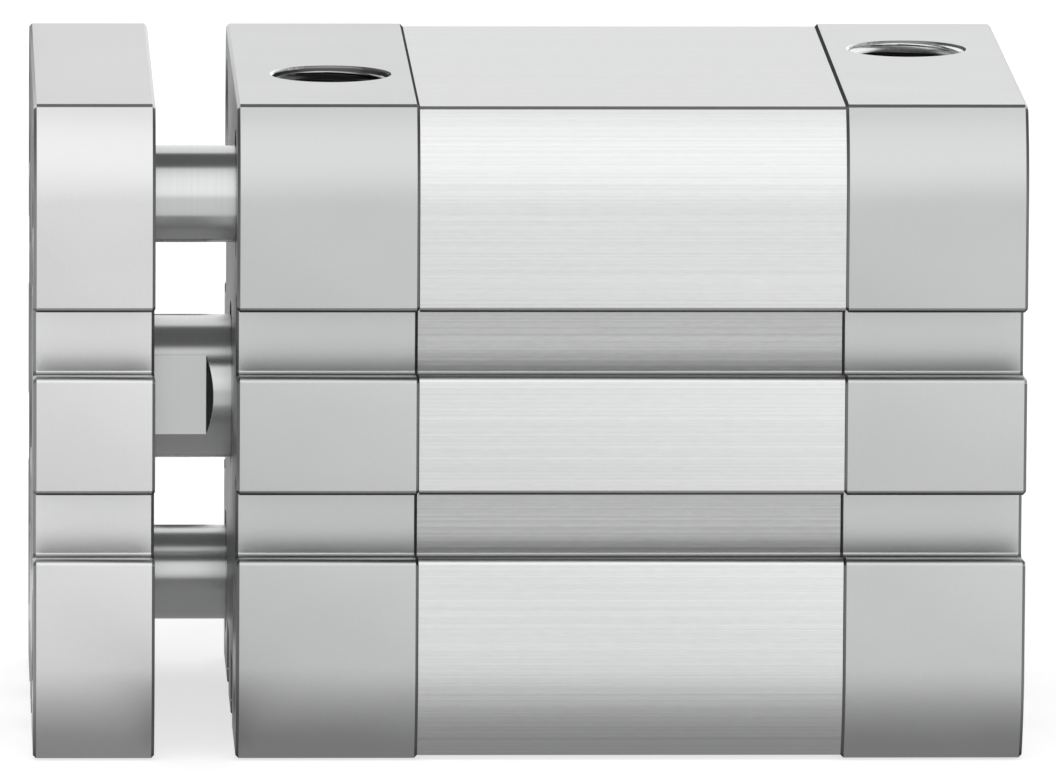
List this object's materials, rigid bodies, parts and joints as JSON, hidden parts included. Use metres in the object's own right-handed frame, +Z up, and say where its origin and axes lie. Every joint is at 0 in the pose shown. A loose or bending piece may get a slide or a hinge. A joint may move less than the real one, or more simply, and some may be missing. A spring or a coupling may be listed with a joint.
{
  "type": "guided compact pneumatic cylinder",
  "caption": "Compact square pneumatic cylinder with a yoke plate, piston rod and guide rods, slotted anodised body and threaded air ports in the top.",
  "frame": {"origin": "centre of the rear mounting face, on the piston rod axis", "axes": "+X along the piston rod towards the yoke, +Z up towards the air ports, +Y to the side the picture shows"},
  "size_m": [0.0817, 0.0544, 0.0544],
  "materials": {
    "cover_aluminium": "satin, fine blasted and anodised",
    "barrel_aluminium": "drawn along the barrel, clear anodised",
    "inner_aluminium": "turned",
    "rod_steel": "ground and polished",
    "screw_steel": "zinc plated",
    "bush_bronze": "sintered bronze",
    "seal_rubber": "matt",
    "band_plastic": "filled sliding plastic",
    "magnet_black": "plastic-bonded magnet"
  },
  "bodies": {
    "cylinder_body": {"barrel": "barrel_aluminium", "front_cover": "cover_aluminium", "rear_cover": "cover_aluminium", "front_cover_screws": "screw_steel", "rear_cover_screws": "screw_steel", "front_static_seal": "seal_rubber", "rear_static_seal": "seal_rubber", "rod_bush": "bush_bronze", "rod_wiper": "seal_rubber", "upper_guide_bush": "bush_bronze", "lower_guide_bush": "bush_bronze", "upper_guide_wiper": "seal_rubber", "lower_guide_wiper": "seal_rubber", "front_bumper": "seal_rubber", "rear_bumper": "seal_rubber"},
    "yoke_carriage": {"piston": "inner_aluminium", "piston_magnet": "magnet_black", "piston_guide_band": "band_plastic", "front_piston_seal": "seal_rubber", "rear_piston_seal": "seal_rubber", "piston_rod": "rod_steel", "rod_o_ring": "seal_rubber", "piston_screw": "screw_steel", "yoke_plate": "cover_aluminium", "yoke_screw": "screw_steel", "guide_rod_screws": "screw_steel", "upper_guide_rod": "rod_steel", "lower_guide_rod": "rod_steel"}
  },
  "joints": [
    {"name": "rod_slide", "type": "slide", "parent": "cylinder_body", "child": "yoke_carriage", "axis": [1, 0, 0], "range_m": [0, 0.02]}
  ]
}
